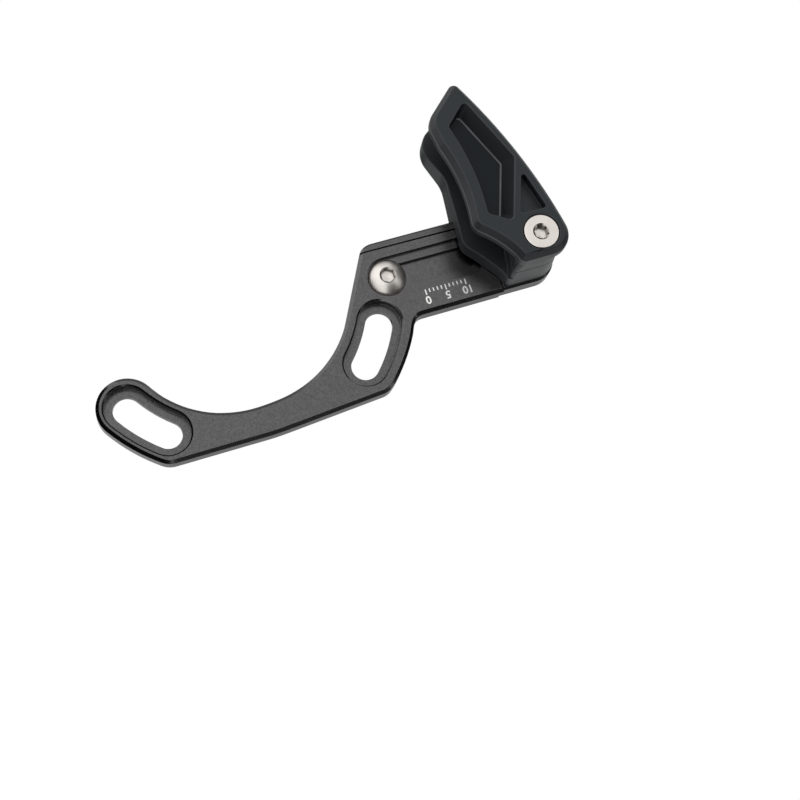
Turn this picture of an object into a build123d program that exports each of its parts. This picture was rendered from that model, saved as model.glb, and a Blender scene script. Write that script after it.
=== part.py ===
import os
from math import acos, atan2, cos, degrees, radians, sin, sqrt, tan

from build123d import *

os.makedirs("parts", exist_ok=True)

# Millimetres and degrees. Z runs up along the slide, and heights run from the mounting face at Y = 0
# towards the front at -Y. The origin lies on the axis of the bolt circle.

# Clearances
slip_gap = 0.1
side_gap = 0.3
end_gap = 0.25
thread_gap = 0.05
hole_gap = 0.25

# How far cutters run past the outline, and how far inside a limit an edge's middle counts as within it
overshoot = 5.0
edge_margin = 0.1

# Screws
screw_radius = 2.5
tip_chamfer = 0.5
hex_across_flats = 3.0
clamp_head_radius = 4.6
clamp_head_height = 2.75
clamp_rim = 0.4
clamp_socket_depth = 1.6
clamp_tip = 2.2
guide_head_radius = 4.1
guide_head_rim = 0.5
guide_socket_depth = 2.4
guide_tip = 3.8

# Mounting arm
thickness = 4.2
slot_circle = 36.0
slot_width = 6.6
slot_half_angle = 8.75
lower_slot_angle = -47.9
upper_slot_angle = 54.5
recess_width = 10.6
recess_depth = 2.5
shell_radius = 28.7
lower_outer_radius = 43.0
upper_outer_radius = 43.5
edge_x = 35.25
edge_bend_z = 1.5
edge_lean = 5.0
edge_blend = 60.0
lower_corner_radius = 5.0
upper_corner_radius = 4.0
neck_radius = 4.0
front_chamfer = 0.8
back_chamfer = 0.3

# Head of the arm and the adjusting slot
head_right = 17.15
head_drop = 8.35
foot_slope = 28.8
foot_corner_radius = 3.0
clamp_x = 6.0
clamp_z = 37.4
travel = 19.5
ledge_height = 3.1

# Slide plate
slide_left = -3.2
lip_width = 1.95
lip_chamfer = 0.6
split_height = 2.05
seam_low_x = 10.1
seam_low_z = 34.2
seam_high_x = 15.0
seam_high_z = 39.5
seam_radius = 1.5
hook_drop = 2.8
hook_angle = 47.9
hook_radius = 0.6
end_x = 11.1
end_rise = 0.35
end_radius = 5.8
end_turn = 17.0
top_slope = 9.7
top_bend_run = 3.28
top_blend = 20.0
top_corner = 0.7
guide_x = 10.7
guide_z = 71.65

# Chain cage
chain_face = 9.0
chain_gap = 8.0
plate_depth = 4.0
chain_radius = 66.0
boss_left = 3.0
boss_corner_radius = 1.0
foot_end_rise = 0.65
end_lean = 1.1
outer_tip = (-31.7, 64.55)
inner_tip = (-30.95, 66.15)
tip_radius = 1.5
cage_end_x = 10.85
cage_end_rise = 1.35
cage_end_radius = 5.5
cage_end_turn = 9.0
heel_length = 7.6
heel_radius = 1.5
flank_start_run = 2.65
flank_start_fall = 1.05
flank_mid_run = 6.35
flank_mid_fall = 3.55
flank_drop = 1.4
outer_toe = (5.3, 56.8)
inner_toe = (5.0, 56.25)
toe_radius = 3.0
outer_arch = ((-6.3, 57.65), (-16.3, 55.8))
inner_arch = ((-4.0, 57.1), (-12.5, 57.6))
outer_bulge = (-23.0, 55.0)
inner_bulge = (-22.6, 53.5)
bulge_radius = 5.5
outline_blend = 8.0
bevel_width = 1.2
bevel_height = 2.0
root_gap = 0.15
root_height = 0.1
free_height = 6.7
pocket_skin = 2.0
back_pockets = (
    ((-27.4, 65.0), (-7.6, 72.55), (-6.1, 71.85), (-6.1, 66.25), (-26.6, 62.9)),
    ((-24.0, 60.6), (-7.6, 64.45), (-6.1, 63.65), (-6.1, 59.25), (-7.6, 58.85), (-20.6, 57.3)),
)
back_pocket_radius = 0.9
window_mouth_top = ((-25.6, 65.1), (-8.7, 71.95), (6.4, 66.3))
window_floor_top = ((-23.3, 62.95), (-8.8, 68.95), (4.0, 64.2))
window_low_right = (3.1, 61.1)
window_arch_mid = (-9.0, 61.3)
window_low_left = (-20.1, 59.3)
window_radius = 1.0
window_depth = 2.8
triangle = ((-5.3, 72.35), (5.3, 74.95), (5.2, 68.4))
triangle_radius = 0.6
triangle_depth = 2.5

# Sizes that follow from the ones above
head_top = guide_z - head_drop
hook_z = head_top - hook_drop
end_z = guide_z + end_rise
cage_end_z = guide_z + cage_end_rise
cage_right = cage_end_x + cage_end_radius
heel_z = cage_end_z - heel_length
split_top = split_height + slip_gap / 2
split_low = split_height - slip_gap / 2
slide_top = thickness + slip_gap
lip_right = slide_left + lip_width
head_left = lip_right + side_gap
block_z = head_top + end_gap
seam_z = chain_face + chain_gap / 2
outer_face = chain_face + chain_gap
cage_top = outer_face + plate_depth
slot_radius = screw_radius + side_gap
channel_radius = clamp_head_radius + side_gap
screw_hole = screw_radius + hole_gap
guide_head_top = cage_top - slip_gap
guide_cone_top = guide_head_top - guide_head_rim
guide_cone_low = guide_cone_top - (guide_head_radius - screw_radius)
lower_end_angle = lower_slot_angle - slot_half_angle


def polar(radius, angle):
    return (radius * cos(radians(angle)), radius * sin(radians(angle)))


def level(height):
    return Plane.XZ.offset(height)


def axis_arc(radius, start, end):
    return ThreePointArc(polar(radius, start), polar(radius, (start + end) / 2), polar(radius, end))


def round_corner(sketch, point, radius):
    fillet(sketch.vertices().sort_by_distance((point[0], point[1], 0))[0], radius)


def foot_line(x):
    start_x, start_z = polar(shell_radius, 90 - foot_slope)
    return (x, start_z + (start_x - x) * tan(radians(foot_slope)))


def front_face(part):
    return part.faces().sort_by(Axis.Y)[0]


def back_face(part):
    return part.faces().sort_by(Axis.Y)[-1]


def arc_slots(width):
    with BuildSketch() as shape:
        for angle in (lower_slot_angle, upper_slot_angle):
            start = angle - slot_half_angle
            path = CenterArc((0, 0), slot_circle, start, 2 * slot_half_angle, mode=Mode.PRIVATE)
            SlotArc(path, width)
    return shape.sketch


def screw_plane(x, z):
    return Plane(origin=(x, 0, z), x_dir=(1, 0, 0), z_dir=(0, 0, 1))


def screw_axis(x, z):
    return Axis((x, 0, z), (0, 1, 0))


# Outline of the arm: inner arc, lower cap, outer edges, head, and the slanted foot of the head.
lower_edge = (edge_x, -sqrt(lower_outer_radius**2 - edge_x**2))
lean_x = -sin(radians(edge_lean))
lean_z = cos(radians(edge_lean))
lean_half = edge_x * lean_x + edge_bend_z * lean_z
lean_rest = upper_outer_radius**2 - edge_x**2 - edge_bend_z**2
lean_length = -lean_half + sqrt(lean_half**2 + lean_rest)
bend_point = (edge_x, edge_bend_z)
upper_edge = (edge_x + lean_length * lean_x, edge_bend_z + lean_length * lean_z)
neck_point = (head_right, sqrt(upper_outer_radius**2 - head_right**2))
cap_radius = (lower_outer_radius - shell_radius) / 2
cap_x, cap_z = polar(shell_radius + cap_radius, lower_end_angle)
cap_dx, cap_dz = polar(cap_radius, lower_end_angle - 90)
slot_shape = arc_slots(slot_width)
recess_shape = arc_slots(recess_width)

with BuildPart() as mounting_arm:
    with BuildSketch(level(0)) as outline:
        with BuildLine():
            axis_arc(shell_radius, 90 - foot_slope, lower_end_angle)
            ThreePointArc(
                polar(shell_radius, lower_end_angle),
                (cap_x + cap_dx, cap_z + cap_dz),
                polar(lower_outer_radius, lower_end_angle),
            )
            axis_arc(lower_outer_radius, lower_end_angle, -degrees(acos(edge_x / lower_outer_radius)))
            Polyline(lower_edge, bend_point, upper_edge)
            axis_arc(
                upper_outer_radius,
                degrees(atan2(upper_edge[1], upper_edge[0])),
                degrees(atan2(neck_point[1], neck_point[0])),
            )
            Polyline(
                neck_point,
                (head_right, head_top),
                (head_left, head_top),
                foot_line(head_left),
                polar(shell_radius, 90 - foot_slope),
            )
        make_face()
        round_corner(outline, lower_edge, lower_corner_radius)
        round_corner(outline, bend_point, edge_blend)
        round_corner(outline, upper_edge, upper_corner_radius)
        round_corner(outline, neck_point, neck_radius)
    extrude(amount=thickness)
    left_limit = head_left + edge_margin
    top_limit = head_top - edge_margin
    front_edges = front_face(mounting_arm).outer_wire().edges()
    chamfer([e for e in front_edges if e.center().X > left_limit and e.center().Z < top_limit], front_chamfer)
    back_edges = back_face(mounting_arm).outer_wire().edges()
    chamfer([e for e in back_edges if e.center().Z < top_limit], back_chamfer)
    # Pocket behind the head, in which the slide plate runs. Its right wall follows the seam.
    seam_half = atan2(seam_high_x - seam_low_x, seam_high_z - seam_low_z) / 2
    seam_drop = side_gap * tan(seam_half)
    lip_in = seam_high_x + side_gap
    lip_low = hook_z + side_gap * tan(radians(hook_angle)) - end_gap / cos(radians(hook_angle))
    pocket_top = head_top + overshoot
    lip_reach = (pocket_top - lip_low) / tan(radians(hook_angle))
    pocket_low = (seam_low_x + side_gap, seam_low_z - seam_drop)
    pocket_high = (lip_in, seam_high_z - seam_drop)
    with BuildSketch(level(0)) as pocket:
        with BuildLine():
            Polyline(
                (pocket_low[0], 0),
                pocket_low,
                pocket_high,
                (lip_in, lip_low),
                (lip_in + lip_reach, pocket_top),
                (slide_left - overshoot, pocket_top),
                (slide_left - overshoot, 0),
                close=True,
            )
        make_face()
        round_corner(pocket, pocket_low, seam_radius)
        round_corner(pocket, pocket_high, seam_radius)
    extrude(amount=split_top, mode=Mode.SUBTRACT)
    with BuildSketch(level(thickness - recess_depth)):
        add(recess_shape)
    extrude(amount=recess_depth, mode=Mode.SUBTRACT)
    with BuildSketch(level(0)):
        add(slot_shape)
    extrude(amount=thickness, mode=Mode.SUBTRACT)
    for height, radius in ((0, slot_radius), (ledge_height, channel_radius)):
        with BuildSketch(level(height)):
            with Locations((clamp_x, clamp_z + travel / 2)):
                SlotCenterToCenter(travel, 2 * radius, rotation=90)
        extrude(amount=thickness, mode=Mode.SUBTRACT)
mounting_arm.part.label = "mounting_arm"
export_step(mounting_arm.part, "parts/mounting_arm.step")


# Slide plate: thin behind the arm's head, with a full-height lip on the left and a block above the head.
right_x = end_x + end_radius
hook_point = (right_x, hook_z + (right_x - seam_high_x) * tan(radians(hook_angle)))
turn_x, turn_z = polar(end_radius, 90 + end_turn)
turn_point = (end_x + turn_x, end_z + turn_z)
blend_point = (turn_point[0] - top_bend_run, turn_point[1] - top_bend_run * tan(radians(end_turn)))
top_left = (slide_left, blend_point[1] - (blend_point[0] - slide_left) * tan(radians(top_slope)))
mid_x, mid_z = polar(end_radius, (90 + end_turn) / 2)

with BuildPart() as slide_plate:
    with BuildSketch(level(0)) as outline:
        with BuildLine():
            Polyline(
                foot_line(seam_low_x),
                (seam_low_x, seam_low_z),
                (seam_high_x, seam_high_z),
                (seam_high_x, hook_z),
                hook_point,
                (right_x, end_z),
            )
            ThreePointArc((right_x, end_z), (end_x + mid_x, end_z + mid_z), turn_point)
            Polyline(
                turn_point,
                blend_point,
                top_left,
                foot_line(slide_left),
                foot_line(seam_low_x),
            )
        make_face()
        round_corner(outline, (seam_low_x, seam_low_z), seam_radius)
        round_corner(outline, (seam_high_x, seam_high_z), seam_radius)
        round_corner(outline, (seam_high_x, hook_z), hook_radius)
        round_corner(outline, hook_point, hook_radius)
        round_corner(outline, blend_point, top_blend)
        round_corner(outline, top_left, top_corner)
        round_corner(outline, foot_line(slide_left), foot_corner_radius)
    extrude(amount=slide_top)
    front_edges = front_face(slide_plate).outer_wire().edges()
    outer_edges = [e for e in front_edges if e.center().X < lip_right or e.center().Z > block_z]
    chamfer(outer_edges, lip_chamfer)
    chamfer(back_face(slide_plate).outer_wire().edges(), back_chamfer)
    with BuildSketch(level(split_low)):
        with Locations((lip_right, block_z)):
            Rectangle(right_x - lip_right + overshoot, block_z, align=(Align.MIN, Align.MAX))
    extrude(amount=slide_top, mode=Mode.SUBTRACT)
    with BuildSketch(level(0)):
        with Locations((clamp_x, clamp_z), (guide_x, guide_z)):
            Circle(screw_radius + thread_gap)
    extrude(amount=slide_top, mode=Mode.SUBTRACT)
    rims = back_face(slide_plate).edges().filter_by(GeomType.CIRCLE)
    chamfer([e for e in rims if abs(e.radius - screw_radius - thread_gap) < thread_gap / 2], back_chamfer)
slide_plate.part.label = "slide_plate"
export_step(slide_plate.part, "parts/slide_plate.step")


# The halves of the cage share the rounded end and the top edge's sweep, and each has its own lower edge.
# Around the screw a boss closes the gap between them, above the path of the chain.
end_dx, end_dz = polar(cage_end_radius, 90 + cage_end_turn)
half_dx, half_dz = polar(cage_end_radius, (90 + cage_end_turn) / 2)
cage_turn = (cage_end_x + end_dx, cage_end_z + end_dz)


def cage_outline(drop, toe, arch, bulge, tip):
    arch_mid, arch_end = arch
    heel = (cage_right, heel_z - drop)
    flank_start = (cage_right - flank_start_run, heel_z - flank_start_fall - drop)
    flank_mid = (cage_right - flank_mid_run, heel_z - flank_mid_fall - drop)
    with BuildSketch() as shape:
        with BuildLine():
            TangentArc(cage_turn, tip, tangent=polar(1, 180 + cage_end_turn))
            ThreePointArc(
                cage_turn,
                (cage_end_x + half_dx, cage_end_z + half_dz),
                (cage_right, cage_end_z),
            )
            Polyline((cage_right, cage_end_z), heel, flank_start)
            ThreePointArc(flank_start, flank_mid, toe)
            ThreePointArc(toe, arch_mid, arch_end)
            Polyline(arch_end, bulge, tip)
        make_face()
        round_corner(shape, heel, heel_radius)
        round_corner(shape, flank_start, outline_blend)
        round_corner(shape, toe, toe_radius)
        round_corner(shape, arch_end, outline_blend)
        round_corner(shape, bulge, bulge_radius)
        round_corner(shape, tip, tip_radius)
    return shape.sketch


outer_shape = cage_outline(0, outer_toe, outer_arch, outer_bulge, outer_tip)
inner_shape = cage_outline(flank_drop, inner_toe, inner_arch, inner_bulge, inner_tip)
boss_top = cage_end_z + cage_end_radius
boss_low_left = (boss_left, sqrt(chain_radius**2 - boss_left**2))
boss_low_right = (cage_right, sqrt(chain_radius**2 - cage_right**2))
with BuildSketch() as boss_shape:
    with BuildLine():
        left_angle = degrees(acos(boss_left / chain_radius))
        axis_arc(chain_radius, left_angle, degrees(acos(cage_right / chain_radius)))
        Polyline(boss_low_right, (cage_right, boss_top), (boss_left, boss_top), boss_low_left)
    make_face()
    for corner in (boss_low_left, boss_low_right):
        round_corner(boss_shape, corner, boss_corner_radius)


# Below the outer plate the cage's rounded end leans down towards the outer plate.
def end_shape(height):
    middle_z = guide_z + foot_end_rise - end_lean * (height - slide_top) / (outer_face - slide_top)
    turn = (cage_end_x + end_dx, middle_z + end_dz)
    far_left = outer_tip[0] - overshoot
    with BuildSketch() as shape:
        with BuildLine():
            ThreePointArc(turn, (cage_end_x + half_dx, middle_z + half_dz), (cage_right, middle_z))
            Polyline(
                (cage_right, middle_z),
                (cage_right, 0),
                (far_left, 0),
                (far_left, turn[1] - (turn[0] - far_left) * tan(radians(cage_end_turn))),
                turn,
            )
        make_face()
    return shape.sketch


def narrow_end():
    sections = [level(height) * end_shape(height) for height in (0, outer_face)]
    loft([section.face() for section in sections], ruled=True, mode=Mode.INTERSECT)


with BuildPart() as inner_guide:
    # Profile across the half: foot on the slide plate to the right, and a wedge beside it to the left.
    root_x = slide_left - root_gap
    with BuildSketch(Plane.XY):
        with BuildLine():
            Polyline(
                (cage_right, -slide_top),
                (root_x, -slide_top),
                (root_x, -root_height),
                (outer_tip[0], -free_height),
                (outer_tip[0], -chain_face),
                (cage_right, -chain_face),
                close=True,
            )
        make_face()
    extrude(amount=cage_end_z + cage_end_radius + overshoot)
    with BuildSketch(level(0)):
        add(inner_shape)
    extrude(amount=chain_face, mode=Mode.INTERSECT)
    with BuildSketch(level(chain_face)):
        add(boss_shape.sketch)
    extrude(amount=seam_z - chain_face)
    narrow_end()
    for points in back_pockets:
        with BuildSketch(level(0)) as pocket:
            with BuildLine():
                Polyline(*points, close=True)
            make_face()
            fillet(pocket.vertices(), back_pocket_radius)
        extrude(amount=chain_face - pocket_skin, mode=Mode.SUBTRACT)
    with BuildSketch(level(0)):
        with Locations((guide_x, guide_z)):
            Circle(screw_hole)
    extrude(amount=seam_z, mode=Mode.SUBTRACT)
inner_guide.part.label = "inner_guide"
export_step(inner_guide.part, "parts/inner_guide.step")


# The two upper walls of the window slope down to its floor, and the other walls stand upright.
def window_shape(top):
    with BuildSketch() as shape:
        with BuildLine():
            Polyline(window_low_left, *top, window_low_right)
            ThreePointArc(window_low_right, window_arch_mid, window_low_left)
        make_face()
        for point in (window_low_left, *top, window_low_right):
            round_corner(shape, point, window_radius)
    return shape.sketch


window_mouth = window_shape(window_mouth_top)
window_floor = window_shape(window_floor_top)

with BuildPart() as outer_guide:
    with BuildSketch(level(seam_z)):
        add(boss_shape.sketch)
    extrude(amount=outer_face - seam_z)
    narrow_end()
    with BuildSketch(level(outer_face)):
        add(outer_shape)
    extrude(amount=plate_depth)
    front = front_face(outer_guide)
    chamfer(front.outer_wire().edges(), bevel_width, length2=bevel_height, reference=front)
    with BuildSketch(level(cage_top - window_depth)):
        add(window_floor)
    with BuildSketch(level(cage_top)):
        add(window_mouth)
    loft(ruled=True, mode=Mode.SUBTRACT)
    with BuildSketch(level(cage_top - triangle_depth)) as pocket:
        with BuildLine():
            Polyline(*triangle, close=True)
        make_face()
        fillet(pocket.vertices(), triangle_radius)
    extrude(amount=triangle_depth, mode=Mode.SUBTRACT)
    with BuildSketch(level(seam_z)):
        with Locations((guide_x, guide_z)):
            Circle(screw_hole)
    extrude(amount=plate_depth + chain_gap, mode=Mode.SUBTRACT)
    # Countersink that follows the screw head with the same gap all round.
    with BuildSketch(screw_plane(guide_x, guide_z)):
        with BuildLine():
            Polyline(
                (0, -guide_cone_low),
                (screw_hole, -guide_cone_low),
                (guide_head_radius + hole_gap, -guide_cone_top),
                (guide_head_radius + hole_gap, -cage_top),
                (0, -cage_top),
                close=True,
            )
        make_face()
    revolve(axis=screw_axis(guide_x, guide_z), mode=Mode.SUBTRACT)
outer_guide.part.label = "outer_guide"
export_step(outer_guide.part, "parts/outer_guide.step")


with BuildPart() as guide_screw:
    with BuildSketch(screw_plane(guide_x, guide_z)):
        with BuildLine():
            Polyline(
                (0, guide_tip),
                (screw_radius - tip_chamfer, guide_tip),
                (screw_radius, guide_tip - tip_chamfer),
                (screw_radius, -guide_cone_low),
                (guide_head_radius, -guide_cone_top),
                (guide_head_radius, -guide_head_top),
                (0, -guide_head_top),
                close=True,
            )
        make_face()
    revolve(axis=screw_axis(guide_x, guide_z))
    with BuildSketch(level(guide_head_top - guide_socket_depth)):
        with Locations((guide_x, guide_z)):
            RegularPolygon(hex_across_flats / 2, 6, major_radius=False)
    extrude(amount=guide_socket_depth, mode=Mode.SUBTRACT)
guide_screw.part.label = "guide_screw"
export_step(guide_screw.part, "parts/guide_screw.step")


with BuildPart() as clamp_screw:
    seat = ledge_height + slip_gap
    head_top_height = seat + clamp_head_height
    dome_rise = clamp_head_height - clamp_rim
    dome_radius = (clamp_head_radius**2 + dome_rise**2) / (2 * dome_rise)
    dome_mid = clamp_head_radius / 2
    dome_mid_height = head_top_height - dome_radius + sqrt(dome_radius**2 - dome_mid**2)
    with BuildSketch(screw_plane(clamp_x, clamp_z)):
        with BuildLine():
            Polyline(
                (0, -head_top_height),
                (0, clamp_tip),
                (screw_radius - tip_chamfer, clamp_tip),
                (screw_radius, clamp_tip - tip_chamfer),
                (screw_radius, -seat),
                (clamp_head_radius, -seat),
                (clamp_head_radius, -seat - clamp_rim),
            )
            ThreePointArc(
                (clamp_head_radius, -seat - clamp_rim),
                (dome_mid, -dome_mid_height),
                (0, -head_top_height),
            )
        make_face()
    revolve(axis=screw_axis(clamp_x, clamp_z))
    with BuildSketch(level(head_top_height - clamp_socket_depth)):
        with Locations((clamp_x, clamp_z)):
            RegularPolygon(hex_across_flats / 2, 6, major_radius=False)
    extrude(amount=clamp_socket_depth, mode=Mode.SUBTRACT)
clamp_screw.part.label = "clamp_screw"
export_step(clamp_screw.part, "parts/clamp_screw.step")
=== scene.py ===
import math

import bmesh
import bpy
from mathutils import Matrix, Quaternion, Vector
from mathutils.kdtree import KDTree


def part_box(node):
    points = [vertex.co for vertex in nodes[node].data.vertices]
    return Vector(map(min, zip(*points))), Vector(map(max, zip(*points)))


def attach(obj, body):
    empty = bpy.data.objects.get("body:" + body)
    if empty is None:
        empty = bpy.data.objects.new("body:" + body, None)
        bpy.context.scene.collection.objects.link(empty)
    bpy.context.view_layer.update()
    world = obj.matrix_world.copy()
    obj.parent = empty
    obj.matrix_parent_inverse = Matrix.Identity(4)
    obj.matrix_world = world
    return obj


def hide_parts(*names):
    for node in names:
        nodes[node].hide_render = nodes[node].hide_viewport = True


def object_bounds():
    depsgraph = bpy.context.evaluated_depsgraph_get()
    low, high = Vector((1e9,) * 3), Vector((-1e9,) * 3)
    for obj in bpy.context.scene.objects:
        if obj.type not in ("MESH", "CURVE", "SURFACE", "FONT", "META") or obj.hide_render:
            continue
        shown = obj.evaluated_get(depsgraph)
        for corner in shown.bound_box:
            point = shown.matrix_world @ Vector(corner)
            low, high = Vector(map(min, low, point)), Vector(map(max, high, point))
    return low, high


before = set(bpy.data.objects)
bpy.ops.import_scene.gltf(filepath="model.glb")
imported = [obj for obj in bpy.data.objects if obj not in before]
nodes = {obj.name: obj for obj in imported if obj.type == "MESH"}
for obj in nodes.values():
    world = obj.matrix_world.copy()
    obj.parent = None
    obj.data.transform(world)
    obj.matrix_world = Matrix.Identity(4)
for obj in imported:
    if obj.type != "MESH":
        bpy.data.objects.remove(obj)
cad_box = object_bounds()

# Lengths are in metres. The front of the guide faces -Y, and its slide rises along +Z.
MM = 0.001

# Camera, worked out from the bolt slots and the screws
CAMERA_PLACE = Vector((123.4, -361.6, -45.4)) * MM
CAMERA_AIM = Vector((34.78, 0.0, 31.41)) * MM
CAMERA_ROLL = math.radians(73.82)
CAMERA_LENS = 72.79
CAMERA_SENSOR = 36.0
CAMERA_NEAR = 0.01
CAMERA_FAR = 50.0

# Floor and light
FLOOR_DROP = 10 * MM
FLOOR_Z = cad_box[0].z - FLOOR_DROP
FLOOR_SIZE = 12.0
FLOOR_SHADE = 0.8
FLOOR_LIFT = 0.62
WORLD_STRENGTH = 0.55
KEY_PLACE = Vector((-0.45, -0.7, 0.5))
KEY_SIZE = 0.5
KEY_POWER = 6.0

# Cards that only reflections see: the finish, the low corner and the high corner
CARD_SHADE = 0.01
CARD_ROUGHNESS = 0.9
CARD_GLOW = {"flag_black": 0.0, "flag_grey": 0.5}
CARD_LOW = FLOOR_Z + 1 * MM
CARDS = {
    "flag_side": ("flag_black", (0.32, -0.8, CARD_LOW), (0.32, -0.02, 0.4)),
    "flag_left": ("flag_grey", (-0.4, -0.02, CARD_LOW), (-0.4, 0.4, 0.35)),
    "flag_low_right": ("flag_black", (-0.03, -0.035, CARD_LOW), (0.2, 0.02, CARD_LOW)),
    "flag_low_left": ("flag_black", (-0.3, 0.1, CARD_LOW), (-0.03, 0.8, CARD_LOW)),
    "flag_top": ("flag_black", (-0.16, -0.1, 0.3), (0.2, 0.16, 0.3)),
}

# Finishes: a skin is its dark and its pale colour, and a roughness is a range
METAL_SKIN = ((0.084, 0.082, 0.084), (0.142, 0.139, 0.142))
# Pale colour of the painted highlight on the metal's edges, and how much of it is mixed in
METAL_EDGE = (0.2, 0.2, 0.2)
METAL_EDGE_RADIUS = 0.12 * MM
METAL_HIGHLIGHT = 0.35
METAL_ROUGHNESS = (0.21, 0.28)
METAL_TINT = (0.6, 0.6, 0.6, 1)
METAL_GRAIN = 0.02 * MM
NYLON_SKIN = ((0.0075, 0.0105, 0.012), (0.01, 0.0135, 0.0155))
NYLON_SHINE = 0.36
# Pale colour of the painted highlight on the cage's edges, and how much of it the drift lets through
NYLON_HIGHLIGHT = (0.1, 0.103, 0.105)
NYLON_HIGHLIGHT_DRIFT = (0.4, 1.0)
NYLON_ROUGHNESS = (0.42, 0.52)
NYLON_GRAIN = 0.03 * MM
# Darker and less shiny nylon for the window pocket, as painted shade
POCKET_SHADE_SKIN = ((0.005, 0.0068, 0.0078), (0.0068, 0.009, 0.0102))
POCKET_SHADE_SHINE = 0.13
STEEL_SKIN = ((0.69, 0.65, 0.61), (0.76, 0.72, 0.68))
# Dark colour of the painted shade inside the sockets
STEEL_SOCKET_SHADE = (0.1, 0.09, 0.08)
STEEL_ROUGHNESS = (0.2, 0.3)
BUTTON_ROUGHNESS = (0.36, 0.44)
STEEL_GRAIN = 0.01 * MM
INK_SKIN = ((0.8, 0.8, 0.79), (0.92, 0.92, 0.91))
INK_ROUGHNESS = (0.5, 0.65)

# Places of the colour sockets on a mix node
MIX_FIRST = 6
MIX_SECOND = 7
MIX_RESULT = 2

# Tolerances
MERGE_DISTANCE = 0.002 * MM
SAME_LEVEL = 0.02 * MM
FLAT_FACE = 0.99

# Heads of the screws
RING_STEPS = 72
SCREW_SMOOTH = math.radians(35)
EDGE_ROUND = 0.15 * MM
EDGE_STEPS = 4
SOCKET_ACROSS_FLATS = 3.0 * MM
SOCKET_CORNER = SOCKET_ACROSS_FLATS / math.sqrt(3)
SOCKET_SIDE = math.radians(60)
SOCKET_RIM = 0.25 * MM
SOCKET_EASE = 0.2 * SOCKET_RIM
SOCKET_WALL_TOP = 1.6 * SOCKET_RIM
# How dark the painted shade is on each band between two rings of the socket, counted from its bottom
SOCKET_PAINTED_SHADE = {2: 1.0, 3: 0.7, 4: 0.3}
SOCKET_DEPTH = {"guide_screw": 2.2 * MM, "clamp_screw": 1.5 * MM}
DRILL_RADIUS = 0.46 * SOCKET_ACROSS_FLATS
DRILL_TIP_RADIUS = 0.1 * SOCKET_ACROSS_FLATS
DRILL_TIP_DEPTH = 0.3 * MM
GUIDE_RIM = 0.5 * MM
CLAMP_RIM = 0.4 * MM
CLAMP_HEIGHT = 2.75 * MM
DOME_STEPS = 16
DOME_GAP_DEGREES = 1

# Shanks and threads of the screws, with the thread's ends as shares of its length
SCREW_RADIUS = 2.5 * MM
SHANK_END = -1.4 * MM
THREAD_START = -1.0 * MM
THREAD_PITCH = 0.8 * MM
THREAD_RIDGE = 0.42 * MM
THREAD_STEPS = 48
THREAD_CORNERS = 4
THREAD_LEAD_IN = 0.08
THREAD_RUN_OUT = 0.88
THREAD_END_SIZE = 0.05
CORE_RADIUS = SCREW_RADIUS - THREAD_RIDGE
TIP_CHAMFER = 0.5 * MM
TIP_COLLAR = 1.6 * TIP_CHAMFER
TIP_MIDDLE = 0.3 * MM
# Rings of the chamfered tip, as (inset, distance from the end) in chamfers
TIP_RINGS = ((0.2, 1.1), (1.2, 0.1), (1.5, 0))

# Rounded edges of the moulded cage, and how strong the painted highlight along them is
NYLON_ROUND = 0.22 * MM
NYLON_STEPS = 3
NYLON_SMOOTH = math.radians(32)
HARD_ANGLE = math.radians(28)
RIM_ANGLE = math.radians(40)
SLANT_ANGLE = math.radians(54)
LEDGE_REACH = 2.5 * NYLON_ROUND
UPRIGHT_SHARE = 0.7
FAINT_EDGE = 0.15
POCKET_DEPTH = 2.8 * MM
POCKET_LIP = 0.3 * MM

# Heel corners of the cage, where the boss meets the plates
CAGE_RIGHT = 16.35 * MM
HEEL_SLOPE = 1.05 / 2.65
HEEL_RADIUS = 1.5 * MM
HEEL_START = 13.7 * MM
# The level along Y where boss and plate meet, and the height of the heel along Z
HEELS = {"outer_guide": (-17.0 * MM, 65.4 * MM), "inner_guide": (-9.0 * MM, 64.0 * MM)}

# Outline of the milled arm and slide
MILLED_SMOOTH = math.radians(25)
INNER_REACH = 29.6 * MM
INNER_END = 61.3
# How far the inner edge stands off its plain arc, as (degrees from +X, mm)
INNER_FILL = (
    (-56, 0), (-48, -0.2), (-36, -0.2), (-24, 0), (-20, 0.15), (-10, 0.5), (0, 0.88),
    (6, 0.96), (16, 0.87), (32, 0.7), (52, 0.62), (INNER_END, 0.58))
OUTER_REACH = 42.0 * MM
# How far the outer edge stands off its plain arc, as (degrees from +X, mm)
OUTER_FILL = ((37, 0), (40, 0.25), (44, 0.62), (54, 0.68), (62, 0.75), (65, 0.6), (69, 0))
FOOT_START = Vector((13.83, 0.0, 25.15)) * MM
FOOT_OUTWARD = Vector((-0.4829, 0.0, -0.8757))
FOOT_ALONG = Vector((-0.8757, 0.0, 0.4829))
FOOT_DEPTH = 1.9 * MM
# How far the slanted foot of the head stands off its plain edge, as (mm along it, mm)
FOOT_FILL = ((0, 0.58), (17.2, 0.58), (18, 0.45), (18.7, 0.3), (19.4, 0.12), (20, 0))

# Broken mouths of the bolt recesses, which end at an angle from +X in degrees
SLOT_CIRCLE = 36.0 * MM
MOUTH_REACH = 5.4 * MM
MOUTH_ANGLE = math.radians(80)
MOUTH_END = 72
MOUTH_BREAK = 0.4 * MM
MOUTH_STEPS = 1

# Height scale beside the adjusting slot
SCALE_X = 11.6 * MM
SCALE_LOW_Z = 45.0 * MM
SCALE_LENGTH = 10
SCALE_FIGURE_EVERY = 5
SCALE_STEP = 1.0 * MM
SCALE_TICK = 0.3 * MM
SCALE_SHORT = 0.9 * MM
SCALE_LONG = 1.4 * MM
SCALE_FIGURE_GAP = 0.4 * MM
SCALE_FONT_SIZE = 2.66 * MM
SCALE_CURVE_STEPS = 4
SCALE_WEIGHT = 0.06 * MM
SCALE_FILM = 0.02 * MM
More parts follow.
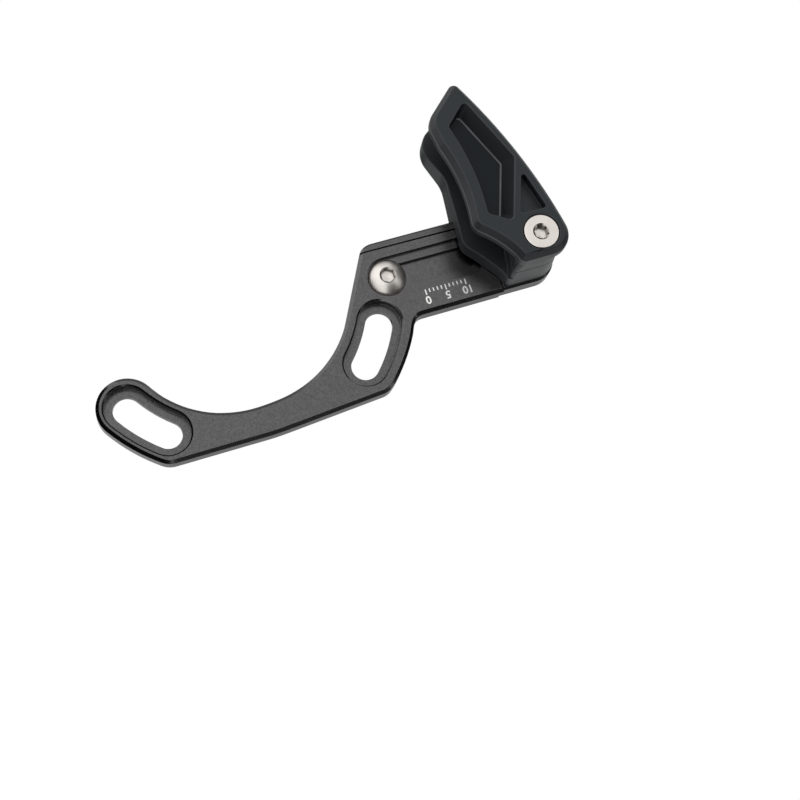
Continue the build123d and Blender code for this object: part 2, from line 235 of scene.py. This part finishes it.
# Turns a figure to the front face, to be read along -Z
SCALE_TURN = Matrix(((0, 1, 0), (0, 0, -1), (-1, 0, 0))).to_4x4()


# Shader node groups

def new_group(name, inputs, outputs):
    group = bpy.data.node_groups.new(name, "ShaderNodeTree")
    for label, kind, value in inputs:
        socket = group.interface.new_socket(label, in_out="INPUT", socket_type=kind)
        socket.default_value = value
    for label, kind in outputs:
        group.interface.new_socket(label, in_out="OUTPUT", socket_type=kind)
    start = group.nodes.new("NodeGroupInput")
    end = group.nodes.new("NodeGroupOutput")
    return group, start, end


def add_node(tree, kind, settings=None, inputs=None):
    """A node with its settings made, and its inputs linked or set."""
    node = tree.nodes.new(kind)
    for key, value in (settings or {}).items():
        setattr(node, key, value)
    for key, value in (inputs or {}).items():
        if isinstance(value, bpy.types.NodeSocket):
            tree.links.new(value, node.inputs[key])
        else:
            node.inputs[key].default_value = value
    return node


def math_node(tree, operation, first, second=0.0):
    node = add_node(tree, "ShaderNodeMath", {"operation": operation}, {0: first, 1: second})
    return node.outputs[0]


def mapped(tree, inputs):
    return add_node(tree, "ShaderNodeMapRange", None, inputs).outputs["Result"]


def speckle_group():
    """Fine even grain with a slow drift under it, on Object coordinates."""
    group, start, end = new_group(
        "speckle",
        [("Grain Scale", "NodeSocketFloat", 4000.0), ("Drift Scale", "NodeSocketFloat", 60.0)],
        [("Grain", "NodeSocketFloat"), ("Drift", "NodeSocketFloat")],
    )
    place = add_node(group, "ShaderNodeTexCoord").outputs["Object"]
    grain = add_node(group, "ShaderNodeTexNoise", None, {
        "Vector": place, "Scale": start.outputs["Grain Scale"], "Detail": 2.0, "Roughness": 0.6})
    drift = add_node(group, "ShaderNodeTexNoise", None, {
        "Vector": place, "Scale": start.outputs["Drift Scale"], "Detail": 3.0, "Roughness": 0.5})
    for noise, label in ((grain, "Grain"), (drift, "Drift")):
        spread = mapped(group, {"Value": noise.outputs["Fac"], "From Min": 0.3, "From Max": 0.7})
        group.links.new(spread, end.inputs[label])
    return group


def edge_group():
    """Normal with softened edges, and a mask of where the edges are."""
    group, start, end = new_group(
        "soft_edge",
        [("Radius", "NodeSocketFloat", 0.2 * MM)],
        [("Normal", "NodeSocketVector"), ("Edge", "NodeSocketFloat")],
    )
    bevel = add_node(group, "ShaderNodeBevel", {"samples": 8}, {"Radius": start.outputs["Radius"]})
    true_normal = add_node(group, "ShaderNodeNewGeometry").outputs["Normal"]
    dot = add_node(group, "ShaderNodeVectorMath", {"operation": "DOT_PRODUCT"}, {
        0: bevel.outputs["Normal"], 1: true_normal})
    turn = math_node(group, "SUBTRACT", 1.0, dot.outputs["Value"])
    mask = mapped(group, {"Value": turn, "From Min": 0.02, "From Max": 0.2})
    group.links.new(bevel.outputs["Normal"], end.inputs["Normal"])
    group.links.new(mask, end.inputs["Edge"])
    return group


SPECKLE = speckle_group()
SOFT_EDGE = edge_group()


# Materials

def new_material(name):
    material = bpy.data.materials.new(name)
    material.use_nodes = True
    tree = material.node_tree
    shader = tree.nodes["Principled BSDF"]
    return material, tree, shader


def place_group(tree, group, inputs):
    return add_node(tree, "ShaderNodeGroup", {"node_tree": group}, inputs)


def mixed_colour(tree, factor, low, high):
    """Mixes two colours, through the sockets that the mix node keeps for colours."""
    mix = add_node(tree, "ShaderNodeMix", {"data_type": "RGBA"}, {"Factor": factor})
    for socket, value in ((mix.inputs[MIX_FIRST], low), (mix.inputs[MIX_SECOND], high)):
        if isinstance(value, bpy.types.NodeSocket):
            tree.links.new(value, socket)
        else:
            socket.default_value = (*value, 1.0)
    return mix.outputs[MIX_RESULT]


def ranged(tree, value, low, high):
    return mapped(tree, {"Value": value, "To Min": low, "To Max": high})


def face_mask(tree, name):
    """A mask that the piece's faces hold."""
    return add_node(tree, "ShaderNodeAttribute", {"attribute_name": name}).outputs["Fac"]


def grain_bump(tree, inputs):
    return add_node(tree, "ShaderNodeBump", None, inputs).outputs["Normal"]


def link_finish(tree, shader, colour, rough, normal=None):
    tree.links.new(colour, shader.inputs["Base Color"])
    tree.links.new(rough, shader.inputs["Roughness"])
    if normal is not None:
        tree.links.new(normal, shader.inputs["Normal"])


def anodised_metal(name):
    """Bead-blasted aluminium with a dark anodised skin and a painted highlight that makes its edges a
    little paler.
    """
    material, tree, shader = new_material(name)
    speckle = place_group(tree, SPECKLE, {"Grain Scale": 3200.0, "Drift Scale": 45.0}).outputs
    soft = place_group(tree, SOFT_EDGE, {"Radius": METAL_EDGE_RADIUS}).outputs
    skin = mixed_colour(tree, speckle["Grain"], *METAL_SKIN)
    # Painted highlight on the edges that the bevel mask finds
    highlighted = math_node(tree, "MULTIPLY", soft["Edge"], METAL_HIGHLIGHT)
    colour = mixed_colour(tree, highlighted, skin, METAL_EDGE)
    rough = ranged(tree, speckle["Drift"], *METAL_ROUGHNESS)
    normal = grain_bump(tree, {
        "Strength": 0.2, "Distance": METAL_GRAIN, "Height": speckle["Grain"], "Normal": soft["Normal"]})
    link_finish(tree, shader, colour, rough, normal)
    shader.inputs["Metallic"].default_value = 1.0
    shader.inputs["Specular Tint"].default_value = METAL_TINT
    return material


def moulded_nylon(name, skin_colours, shine):
    """Matte black nylon with a fine moulded grain, and a painted highlight that makes its marked edges
    paler.
    """
    material, tree, shader = new_material(name)
    speckle = place_group(tree, SPECKLE, {"Grain Scale": 1500.0, "Drift Scale": 90.0}).outputs
    skin = mixed_colour(tree, speckle["Drift"], *skin_colours)
    # Painted highlight along the edges that the faces mark, thinned at random by the drift
    highlight_drift = ranged(tree, speckle["Drift"], *NYLON_HIGHLIGHT_DRIFT)
    painted_highlight = math_node(tree, "MULTIPLY", face_mask(tree, "edge"), highlight_drift)
    colour = mixed_colour(tree, painted_highlight, skin, NYLON_HIGHLIGHT)
    rough = ranged(tree, speckle["Drift"], *NYLON_ROUGHNESS)
    normal = grain_bump(tree, {"Strength": 0.2, "Distance": NYLON_GRAIN, "Height": speckle["Grain"]})
    link_finish(tree, shader, colour, rough, normal)
    shader.inputs["Specular IOR Level"].default_value = shine
    return material


def turned_steel(name, roughness):
    """Bright stainless steel with a faint grain, and painted shade that darkens it inside its socket."""
    material, tree, shader = new_material(name)
    speckle = place_group(tree, SPECKLE, {"Grain Scale": 2600.0, "Drift Scale": 300.0}).outputs
    bright = mixed_colour(tree, speckle["Drift"], *STEEL_SKIN)
    # Painted shade inside the socket, by the mask that its bands hold
    colour = mixed_colour(tree, face_mask(tree, "recess"), bright, STEEL_SOCKET_SHADE)
    rough = ranged(tree, speckle["Grain"], *roughness)
    normal = grain_bump(tree, {"Strength": 0.05, "Distance": STEEL_GRAIN, "Height": speckle["Grain"]})
    link_finish(tree, shader, colour, rough, normal)
    shader.inputs["Metallic"].default_value = 1.0
    return material


def printed_ink(name):
    """Off-white pad print, a little thin in places."""
    material, tree, shader = new_material(name)
    speckle = place_group(tree, SPECKLE, {"Grain Scale": 3000.0, "Drift Scale": 700.0}).outputs
    colour = mixed_colour(tree, speckle["Drift"], *INK_SKIN)
    rough = ranged(tree, speckle["Grain"], *INK_ROUGHNESS)
    link_finish(tree, shader, colour, rough)
    return material


arm_metal = anodised_metal("arm_metal_finish")
slide_metal = anodised_metal("slide_metal_finish")
nylon = moulded_nylon("nylon_finish", NYLON_SKIN, NYLON_SHINE)
# The second nylon is the painted shade of the window pocket
nylon_pocket_shade = moulded_nylon("nylon_pocket_painted_shade", POCKET_SHADE_SKIN, POCKET_SHADE_SHINE)
steel = turned_steel("screw_steel_finish", STEEL_ROUGHNESS)
button_steel = turned_steel("button_steel_finish", BUTTON_ROUGHNESS)
ink = printed_ink("scale_ink")


# Pieces

def body_piece(name, mesh, body):
    piece = bpy.data.objects.new(name, mesh)
    bpy.context.scene.collection.objects.link(piece)
    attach(piece, body)
    return piece


def built_piece(name, builder, material, body):
    mesh = bpy.data.meshes.new(name)
    builder.to_mesh(mesh)
    builder.free()
    mesh.materials.append(material)
    return body_piece(name, mesh, body)


def plain_mesh(holder):
    """The finished mesh of an object with a modifier or of a text, which goes once it is read."""
    bpy.context.scene.collection.objects.link(holder)
    view = bpy.context.evaluated_depsgraph_get()
    mesh = bpy.data.meshes.new_from_object(holder.evaluated_get(view))
    bpy.data.objects.remove(holder)
    return mesh


def smooth_by_angle(mesh, angle):
    """Shades a mesh smooth across edges below an angle, without the normals it was loaded with."""
    loaded = mesh.attributes.get("custom_normal")
    if loaded:
        mesh.attributes.remove(loaded)
    mesh.shade_smooth()
    mesh.set_sharp_from_angle(angle=angle)


def merged_copy(node_name):
    shape = bmesh.new()
    shape.from_mesh(nodes[node_name].data)
    bmesh.ops.remove_doubles(shape, verts=shape.verts, dist=MERGE_DISTANCE)
    return shape


def bevel_edges(shape, edges, width, steps):
    bevelled = bmesh.ops.bevel(
        shape, geom=edges, offset=width, offset_type="OFFSET", segments=steps, profile=0.5,
        affect="EDGES", clamp_overlap=False, loop_slide=False)
    return bevelled["faces"]


# Moulded cage

def edge_points(edges, step):
    """Points along edges, for looking up the nearest edge."""
    points = []
    for index, edge in enumerate(edges):
        start, end = (vert.co for vert in edge.verts)
        count = max(1, round(edge.calc_length() / step))
        points += [(start.lerp(end, (k + 0.5) / count), index) for k in range(count)]
    tree = KDTree(len(points))
    for place, (point, _) in enumerate(points):
        tree.insert(point, place)
    tree.balance()
    return points, tree


def level_pair(first, second):
    """Whether two edges lie at one depth."""
    depths = [vert.co.y for edge in (first, second) for vert in edge.verts]
    return max(depths) - min(depths) < SAME_LEVEL


def roomy_edges(shape):
    """Hard edges, without the outer and inner edges of ledges that are too narrow to be rounded."""
    hard = [edge for edge in shape.edges if edge.calc_face_angle() > HARD_ANGLE]
    points, tree = edge_points(hard, NYLON_ROUND)
    narrow = set()
    for point, index in points:
        for _, place, _ in tree.find_range(point, LEDGE_REACH):
            edge, other = hard[index], hard[points[place][1]]
            if edge.is_convex != other.is_convex and level_pair(edge, other):
                narrow.add(index)
    return [edge for index, edge in enumerate(hard) if index not in narrow]


def edge_shine(edge):
    """How strong the painted highlight on an edge is: most along the slanted rim and the foot of a
    slanted wall, and not along the corners that run from front to back."""
    run = edge.verts[1].co - edge.verts[0].co
    if abs(run.y) > UPRIGHT_SHARE * run.length:
        return 0.0
    if edge.is_convex:
        return 1.0 if edge.calc_face_angle() < RIM_ANGLE else FAINT_EDGE
    return 1.0 if edge.calc_face_angle() < SLANT_ANGLE else 0.0


def mark_pocket(shape):
    """Gives the window pocket its painted shade, the darker and less shiny second finish, from its floor
    up to just below the mouth.
    """
    front = min(vert.co.y for vert in shape.verts)
    floor = front + POCKET_DEPTH
    todo = [
        face for face in shape.faces
        if face.normal.y < -FLAT_FACE and abs(face.calc_center_median().y - floor) < SAME_LEVEL]
    while todo:
        face = todo.pop()
        if face.material_index or face.calc_center_median().y < front + POCKET_LIP:
            continue
        face.material_index = 1
        todo += [other for edge in face.edges for other in edge.link_faces]


def heel_height(x, heel):
    """Height of a plate's rounded heel corner at x."""
    slant = math.hypot(1, HEEL_SLOPE)
    middle_x = CAGE_RIGHT - HEEL_RADIUS
    if x < middle_x + HEEL_RADIUS * HEEL_SLOPE / slant:
        return heel - (CAGE_RIGHT - x) * HEEL_SLOPE
    middle_z = heel + HEEL_RADIUS * (slant - HEEL_SLOPE)
    return middle_z - math.sqrt(max(0.0, HEEL_RADIUS**2 - (x - middle_x)**2))


def flush_heel(shape, level, heel):
    """Draws the boss's corner in to the plate's heel, where it would stand out as a sliver."""
    for vert in shape.verts:
        if abs(vert.co.y - level) < SAME_LEVEL and vert.co.x > HEEL_START:
            vert.co.z = max(vert.co.z, heel_height(vert.co.x, heel))
    bmesh.ops.dissolve_degenerate(shape, dist=SAME_LEVEL, edges=shape.edges)


def softened(node_name):
    """A copy of a moulded half of the cage with its hard edges rounded."""
    shape = merged_copy(node_name)
    flush_heel(shape, *HEELS[node_name])
    # The faces of each rounded edge hold how strong its painted highlight is
    painted_highlight = shape.faces.layers.float.new("edge")
    hard = roomy_edges(shape)
    points, tree = edge_points(hard, NYLON_ROUND)
    shine = [edge_shine(edge) for edge in hard]
    for face in bevel_edges(shape, hard, NYLON_ROUND, NYLON_STEPS):
        place = tree.find(face.calc_center_median())[1]
        face[painted_highlight] = shine[points[place][1]]
    mark_pocket(shape)
    piece = built_piece(node_name + "_moulding", shape, nylon, "slider")
    piece.data.materials.append(nylon_pocket_shade)
    smooth_by_angle(piece.data, NYLON_SMOOTH)
    even = piece.modifiers.new("even_shading", "WEIGHTED_NORMAL")
    even.keep_sharp = True
    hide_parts(node_name)


# Milled arm and slide

def polar_place(point):
    """Distance from the axis of the bolt circle, and the angle from +X in degrees."""
    return math.hypot(point.x, point.z), math.degrees(math.atan2(point.z, point.x))


def fill_at(steps, place):
    """Reads a list of (place, mm) with straight lines between its points and nothing outside it."""
    for (start, low), (end, high) in zip(steps, steps[1:]):
        if start <= place <= end:
            return (low + (high - low) * (place - start) / (end - start)) * MM
    return 0.0


def edge_fill(point):
    """How far a point of the arm or the slide moves to fill out the plain outline."""
    reach, angle = polar_place(point)
    outward = Vector((point.x, 0, point.z)) / reach
    if reach < INNER_REACH and angle < INNER_END:
        return outward * -fill_at(INNER_FILL, angle)
    if reach > OUTER_REACH and angle < OUTER_FILL[-1][0]:
        return outward * fill_at(OUTER_FILL, angle)
    offset = point - FOOT_START
    if -FOOT_DEPTH < offset.dot(FOOT_OUTWARD):
        return FOOT_OUTWARD * fill_at(FOOT_FILL, offset.dot(FOOT_ALONG) / MM)
    return Vector()


def is_mouth(edge, front):
    """Whether an edge is the sharp mouth of a bolt recess in the front face."""
    reach, angle = polar_place((edge.verts[0].co + edge.verts[1].co) / 2)
    near = abs(reach - SLOT_CIRCLE) < MOUTH_REACH and angle < MOUTH_END
    level = all(abs(vert.co.y - front) < SAME_LEVEL for vert in edge.verts)
    return near and level and edge.calc_face_angle() > MOUTH_ANGLE


def milled(node_name, body, material):
    """A copy of a milled piece with its outline filled out and the mouths of its recesses broken."""
    shape = merged_copy(node_name)
    for vert in shape.verts:
        vert.co += edge_fill(vert.co)
    front = min(vert.co.y for vert in shape.verts)
    mouths = [edge for edge in shape.edges if is_mouth(edge, front)]
    bevel_edges(shape, mouths, MOUTH_BREAK, MOUTH_STEPS)
    piece = built_piece(node_name + "_milled", shape, material, body)
    smooth_by_angle(piece.data, MILLED_SMOOTH)
    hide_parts(node_name)


# Screws

def socket_radius(angle):
    """Distance from the axis to the hexagon's wall."""
    return SOCKET_ACROSS_FLATS / 2 / math.cos(angle % SOCKET_SIDE - SOCKET_SIDE / 2)


def ring_solid(rings, axis_x, axis_z):
    """Closed skin through rings about the screw's axis.
    A ring is (radius, height along Y), with radius None along the hexagon of the socket."""
    shape = bmesh.new()
    recess = shape.faces.layers.float.new("recess")
    loops = []
    for radius, height in rings:
        loop = []
        for step in range(RING_STEPS):
            angle = 2 * math.pi * step / RING_STEPS
            reach = socket_radius(angle) if radius is None else radius
            x = axis_x + reach * math.cos(angle)
            z = axis_z + reach * math.sin(angle)
            loop.append(shape.verts.new((x, height, z)))
        loops.append(loop)
    for place, (lower, upper) in enumerate(zip(loops, loops[1:])):
        for step in range(RING_STEPS):
            after = (step + 1) % RING_STEPS
            face = shape.faces.new((lower[step], lower[after], upper[after], upper[step]))
            # Each band holds how dark its painted shade is
            face[recess] = SOCKET_PAINTED_SHADE.get(place, 0.0)
    shape.faces.new(loops[0])
    shape.faces.new(loops[-1])
    bmesh.ops.recalc_face_normals(shape, faces=shape.faces)
    return shape


def arc_rings(middle_radius, middle_height, radius, first, last, steps):
    """Rings along an arc, with its angles in degrees, counted from outwards towards the back."""
    rings = []
    for step in range(steps + 1):
        angle = math.radians(first + (last - first) * step / steps)
        reach = middle_radius + radius * math.cos(angle)
        rings.append((reach, middle_height + radius * math.sin(angle)))
    return rings


def socket_rings(top, depth):
    """Rings of the hexagon socket, from its drilled bottom up to the rim."""
    return [
        (DRILL_TIP_RADIUS, top + depth + DRILL_TIP_DEPTH),
        (DRILL_RADIUS, top + depth),
        (None, top + depth),
        (None, top + SOCKET_WALL_TOP),
        (SOCKET_CORNER + SOCKET_EASE, top + SOCKET_RIM),
        (SOCKET_CORNER + SOCKET_EASE + SOCKET_RIM, top),
    ]


def shank_rings(seat, tip):
    """Rings of the shank with its threaded end and chamfered tip."""
    chamfer = [
        (SCREW_RADIUS - inset * TIP_CHAMFER, tip - distance * TIP_CHAMFER)
        for inset, distance in TIP_RINGS]
    return [
        (SCREW_RADIUS, seat),
        (SCREW_RADIUS, SHANK_END),
        (CORE_RADIUS, SHANK_END + THREAD_RIDGE),
        (CORE_RADIUS, tip - TIP_COLLAR),
        *chamfer,
        (TIP_MIDDLE, tip),
    ]


def screw_frame(node_name):
    """A screw's axis, its top and its tip along Y, and the radius of its head."""
    low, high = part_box(node_name)
    middle = (low + high) / 2
    return middle.x, middle.z, low.y, high.y, (high.x - low.x) / 2


def turned_screw(node_name, rings, x, z, material):
    shape = ring_solid(rings, x, z)
    piece = built_piece(node_name + "_turned", shape, material, "slider")
    smooth_by_angle(piece.data, SCREW_SMOOTH)
    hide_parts(node_name)


def guide_screw():
    """Flat-head screw with a cone under its rim. Gives the place of its tip."""
    x, z, top, tip, radius = screw_frame("guide_screw")
    cone_end = top + GUIDE_RIM + radius - SCREW_RADIUS
    rings = socket_rings(top, SOCKET_DEPTH["guide_screw"])
    rings += arc_rings(radius - EDGE_ROUND, top + EDGE_ROUND, EDGE_ROUND, -90, 0, EDGE_STEPS)
    rings += [(radius, top + GUIDE_RIM), (SCREW_RADIUS, cone_end)]
    rings += shank_rings(cone_end + EDGE_ROUND, tip)
    turned_screw("guide_screw", rings, x, z, steel)
    return x, tip, z


def clamp_screw():
    """Button-head screw with a domed top. Gives the place of its tip."""
    x, z, top, tip, radius = screw_frame("clamp_screw")
    rings = socket_rings(top, SOCKET_DEPTH["clamp_screw"])
    rise = CLAMP_HEIGHT - CLAMP_RIM
    dome = (radius**2 + rise**2) / (2 * rise)
    flat = math.degrees(math.asin(rings[-1][0] / dome))
    edge = math.degrees(math.asin(radius / dome))
    sink = dome - dome * math.cos(math.radians(flat))
    rings = [(reach, height + sink) for reach, height in rings]
    rings += arc_rings(0, top + dome, dome, -90 + flat + DOME_GAP_DEGREES, -90 + edge, DOME_STEPS)
    seat = top + CLAMP_HEIGHT
    rings += [(radius, seat - EDGE_ROUND), (radius - EDGE_ROUND, seat)]
    rings += shank_rings(seat, tip)
    turned_screw("clamp_screw", rings, x, z, button_steel)
    return x, tip, z


def thread_tree():
    """Helical ridge along +Y, thinning out at both ends."""
    tree = bpy.data.node_groups.new("screw_thread", "GeometryNodeTree")
    for label, kind, value in (
        ("Core Radius", "NodeSocketFloat", CORE_RADIUS),
        ("Ridge", "NodeSocketFloat", THREAD_RIDGE),
        ("Turns", "NodeSocketFloat", 1.0),
        ("Length", "NodeSocketFloat", THREAD_PITCH),
        ("Start", "NodeSocketVector", (0, 0, 0)),
    ):
        tree.interface.new_socket(label, in_out="INPUT", socket_type=kind).default_value = value
    tree.interface.new_socket("Finish", in_out="INPUT", socket_type="NodeSocketMaterial")
    tree.interface.new_socket("Geometry", in_out="OUTPUT", socket_type="NodeSocketGeometry")
    start = tree.nodes.new("NodeGroupInput").outputs
    spiral = add_node(tree, "GeometryNodeCurveSpiral", None, {
        "Resolution": THREAD_STEPS, "Rotations": start["Turns"], "Start Radius": start["Core Radius"],
        "End Radius": start["Core Radius"], "Height": start["Length"]})
    upright = add_node(tree, "GeometryNodeSetCurveNormal", {"mode": "Z_UP"}, {
        "Curve": spiral.outputs["Curve"]})
    along = add_node(tree, "GeometryNodeSplineParameter").outputs["Factor"]
    rise = mapped(tree, {"Value": along, "From Max": THREAD_LEAD_IN})
    fall = mapped(tree, {
        "Value": along, "From Min": THREAD_RUN_OUT, "From Max": 1.0,
        "To Min": 1.0, "To Max": THREAD_END_SIZE})
    taper = math_node(tree, "MULTIPLY", rise, fall)
    profile = add_node(tree, "GeometryNodeCurvePrimitiveCircle", None, {
        "Resolution": THREAD_CORNERS, "Radius": start["Ridge"]})
    ridge = add_node(tree, "GeometryNodeCurveToMesh", None, {
        "Curve": upright.outputs["Curve"], "Profile Curve": profile.outputs["Curve"],
        "Fill Caps": True, "Scale": taper})
    turned = add_node(tree, "GeometryNodeTransform", None, {
        "Geometry": ridge.outputs["Mesh"], "Translation": start["Start"],
        "Rotation": (math.radians(-90), 0, 0)})
    real = add_node(tree, "GeometryNodeRealizeInstances", None, {
        "Geometry": turned.outputs["Geometry"]})
    finish = add_node(tree, "GeometryNodeSetMaterial", None, {
        "Geometry": real.outputs["Geometry"], "Material": start["Finish"]})
    end = tree.nodes.new("NodeGroupOutput")
    tree.links.new(finish.outputs["Geometry"], end.inputs["Geometry"])
    return tree


def thread_piece(name, tree, x, tip, z):
    """Runs the thread tree once and keeps the result as a plain mesh."""
    length = tip - TIP_CHAMFER - THREAD_START
    values = {
        "Turns": length / THREAD_PITCH, "Length": length, "Start": (x, THREAD_START, z), "Finish": steel}
    holder = bpy.data.objects.new(name, bpy.data.meshes.new(name + "_holder"))
    modifier = holder.modifiers.new("thread", "NODES")
    modifier.node_group = tree
    for item in tree.interface.items_tree:
        if item.in_out == "INPUT" and item.name in values:
            modifier[item.identifier] = values[item.name]
    body_piece(name, plain_mesh(holder), "slider")


# Printed scale

def scale_figure(number, front):
    """The mesh of one figure of the scale, beside its tick."""
    text = bpy.data.curves.new("figure", "FONT")
    text.body = str(number)
    text.size = SCALE_FONT_SIZE
    text.extrude = SCALE_FILM
    text.offset = SCALE_WEIGHT
    text.align_x = "CENTER"
    text.resolution_u = SCALE_CURVE_STEPS
    mesh = plain_mesh(bpy.data.objects.new("figure", text))
    x = SCALE_X + SCALE_LONG + SCALE_FIGURE_GAP
    place = Vector((x, front, SCALE_LOW_Z + number * SCALE_STEP))
    mesh.transform(Matrix.Translation(place) @ SCALE_TURN)
    return mesh


def height_scale():
    """Printed ticks and figures for the height of the cage, beside the adjusting slot."""
    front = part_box("mounting_arm")[0].y
    shape = bmesh.new()
    for step in range(SCALE_LENGTH + 1):
        reach = SCALE_SHORT if step % SCALE_FIGURE_EVERY else SCALE_LONG
        size = Vector((reach, 2 * SCALE_FILM, SCALE_TICK))
        middle = Vector((SCALE_X + reach / 2, front, SCALE_LOW_Z + step * SCALE_STEP))
        bmesh.ops.create_cube(shape, size=1.0, matrix=Matrix.LocRotScale(middle, None, size))
    for step in range(0, SCALE_LENGTH + 1, SCALE_FIGURE_EVERY):
        shape.from_mesh(scale_figure(step, front))
    built_piece("height_scale", shape, ink, "arm")


def dress_part():
    milled("mounting_arm", "arm", arm_metal)
    milled("slide_plate", "slider", slide_metal)
    for name in ("inner_guide", "outer_guide"):
        softened(name)
    tree = thread_tree()
    for screw, thread in ((guide_screw, "guide_screw_thread"), (clamp_screw, "clamp_screw_thread")):
        thread_piece(thread, tree, *screw())
    height_scale()


# Stage

def white_for_eye(tree, plain, lit):
    """Mixes to white where the camera, a reflection or a clear piece looks at it."""
    path = add_node(tree, "ShaderNodeLightPath").outputs
    seen = math_node(tree, "MAXIMUM", path["Is Camera Ray"], path["Is Glossy Ray"])
    seen = math_node(tree, "MAXIMUM", seen, path["Is Transmission Ray"])
    return add_node(tree, "ShaderNodeMixShader", None, {0: seen, 1: plain, 2: lit}).outputs[0]


def white_light(tree, kind, strength):
    return add_node(tree, kind, None, {"Color": (1, 1, 1, 1), "Strength": strength}).outputs[0]


def studio_world():
    world = bpy.data.worlds.new("studio")
    bpy.context.scene.world = world
    world.use_nodes = True
    tree = world.node_tree
    tree.nodes.clear()
    plain = white_light(tree, "ShaderNodeBackground", WORLD_STRENGTH)
    lit = white_light(tree, "ShaderNodeBackground", 1.0)
    end = tree.nodes.new("ShaderNodeOutputWorld")
    tree.links.new(white_for_eye(tree, plain, lit), end.inputs["Surface"])


def floor_material():
    """Pale matte floor that is lifted to white where it is looked at."""
    material = bpy.data.materials.new("floor_white")
    material.use_nodes = True
    tree = material.node_tree
    tree.nodes.clear()
    shade = (FLOOR_SHADE, FLOOR_SHADE, FLOOR_SHADE, 1)
    matte = add_node(tree, "ShaderNodeBsdfDiffuse", None, {"Color": shade}).outputs[0]
    lift = white_light(tree, "ShaderNodeEmission", FLOOR_LIFT)
    both = add_node(tree, "ShaderNodeAddShader", None, {0: matte, 1: lift}).outputs[0]
    end = tree.nodes.new("ShaderNodeOutputMaterial")
    tree.links.new(white_for_eye(tree, matte, both), end.inputs["Surface"])
    return material


def card_material(name, glow):
    """Black card, or a grey one that glows as a lit card does."""
    material, _, shader = new_material(name)
    shader.inputs["Base Color"].default_value = (CARD_SHADE, CARD_SHADE, CARD_SHADE, 1)
    shader.inputs["Roughness"].default_value = CARD_ROUGHNESS
    shader.inputs["Emission Color"].default_value = (1, 1, 1, 1)
    shader.inputs["Emission Strength"].default_value = glow
    return material


def flat_piece(name, low, high, material):
    """An upright or level sheet of the stage, from its low corner to its high corner."""
    (left, front, bottom), (right, back, top) = low, high
    if left == right:
        corners = [(left, front, bottom), (left, back, bottom), (left, back, top), (left, front, top)]
    else:
        corners = [(left, front, top), (right, front, top), (right, back, top), (left, back, top)]
    mesh = bpy.data.meshes.new(name)
    mesh.from_pydata(corners, [], [tuple(range(len(corners)))])
    mesh.materials.append(material)
    piece = bpy.data.objects.new(name, mesh)
    bpy.context.scene.collection.objects.link(piece)
    return piece


def reflection_card(name, low, high, material):
    piece = flat_piece(name, low, high, material)
    piece.visible_camera = False
    piece.visible_diffuse = False
    piece.visible_transmission = False
    piece.visible_volume_scatter = False
    piece.visible_shadow = False


def key_light(aim):
    lamp = bpy.data.lights.new("key", "AREA")
    lamp.shape = "DISK"
    lamp.size = KEY_SIZE
    lamp.energy = KEY_POWER
    piece = bpy.data.objects.new("key", lamp)
    piece.location = KEY_PLACE
    piece.rotation_mode = "QUATERNION"
    piece.rotation_quaternion = (aim - KEY_PLACE).to_track_quat("-Z", "Y")
    piece.visible_glossy = False
    bpy.context.scene.collection.objects.link(piece)


def set_stage():
    half = FLOOR_SIZE / 2
    flat_piece("floor", (-half, -half, FLOOR_Z), (half, half, FLOOR_Z), floor_material())
    finishes = {name: card_material(name, glow) for name, glow in CARD_GLOW.items()}
    for name, (finish, low, high) in CARDS.items():
        reflection_card(name, low, high, finishes[finish])
    key_light((cad_box[0] + cad_box[1]) / 2)
    studio_world()


def set_camera():
    data = bpy.data.cameras.new("camera")
    data.sensor_width = CAMERA_SENSOR
    data.lens = CAMERA_LENS
    data.clip_start = CAMERA_NEAR
    data.clip_end = CAMERA_FAR
    camera = bpy.data.objects.new("camera", data)
    camera.location = CAMERA_PLACE
    camera.rotation_mode = "QUATERNION"
    level = (CAMERA_AIM - CAMERA_PLACE).to_track_quat("-Z", "Y")
    camera.rotation_quaternion = level @ Quaternion((0, 0, 1), CAMERA_ROLL)
    bpy.context.scene.collection.objects.link(camera)
    bpy.context.scene.camera = camera


dress_part()
set_stage()
set_camera()
bpy.context.scene.view_settings.view_transform = "Standard"
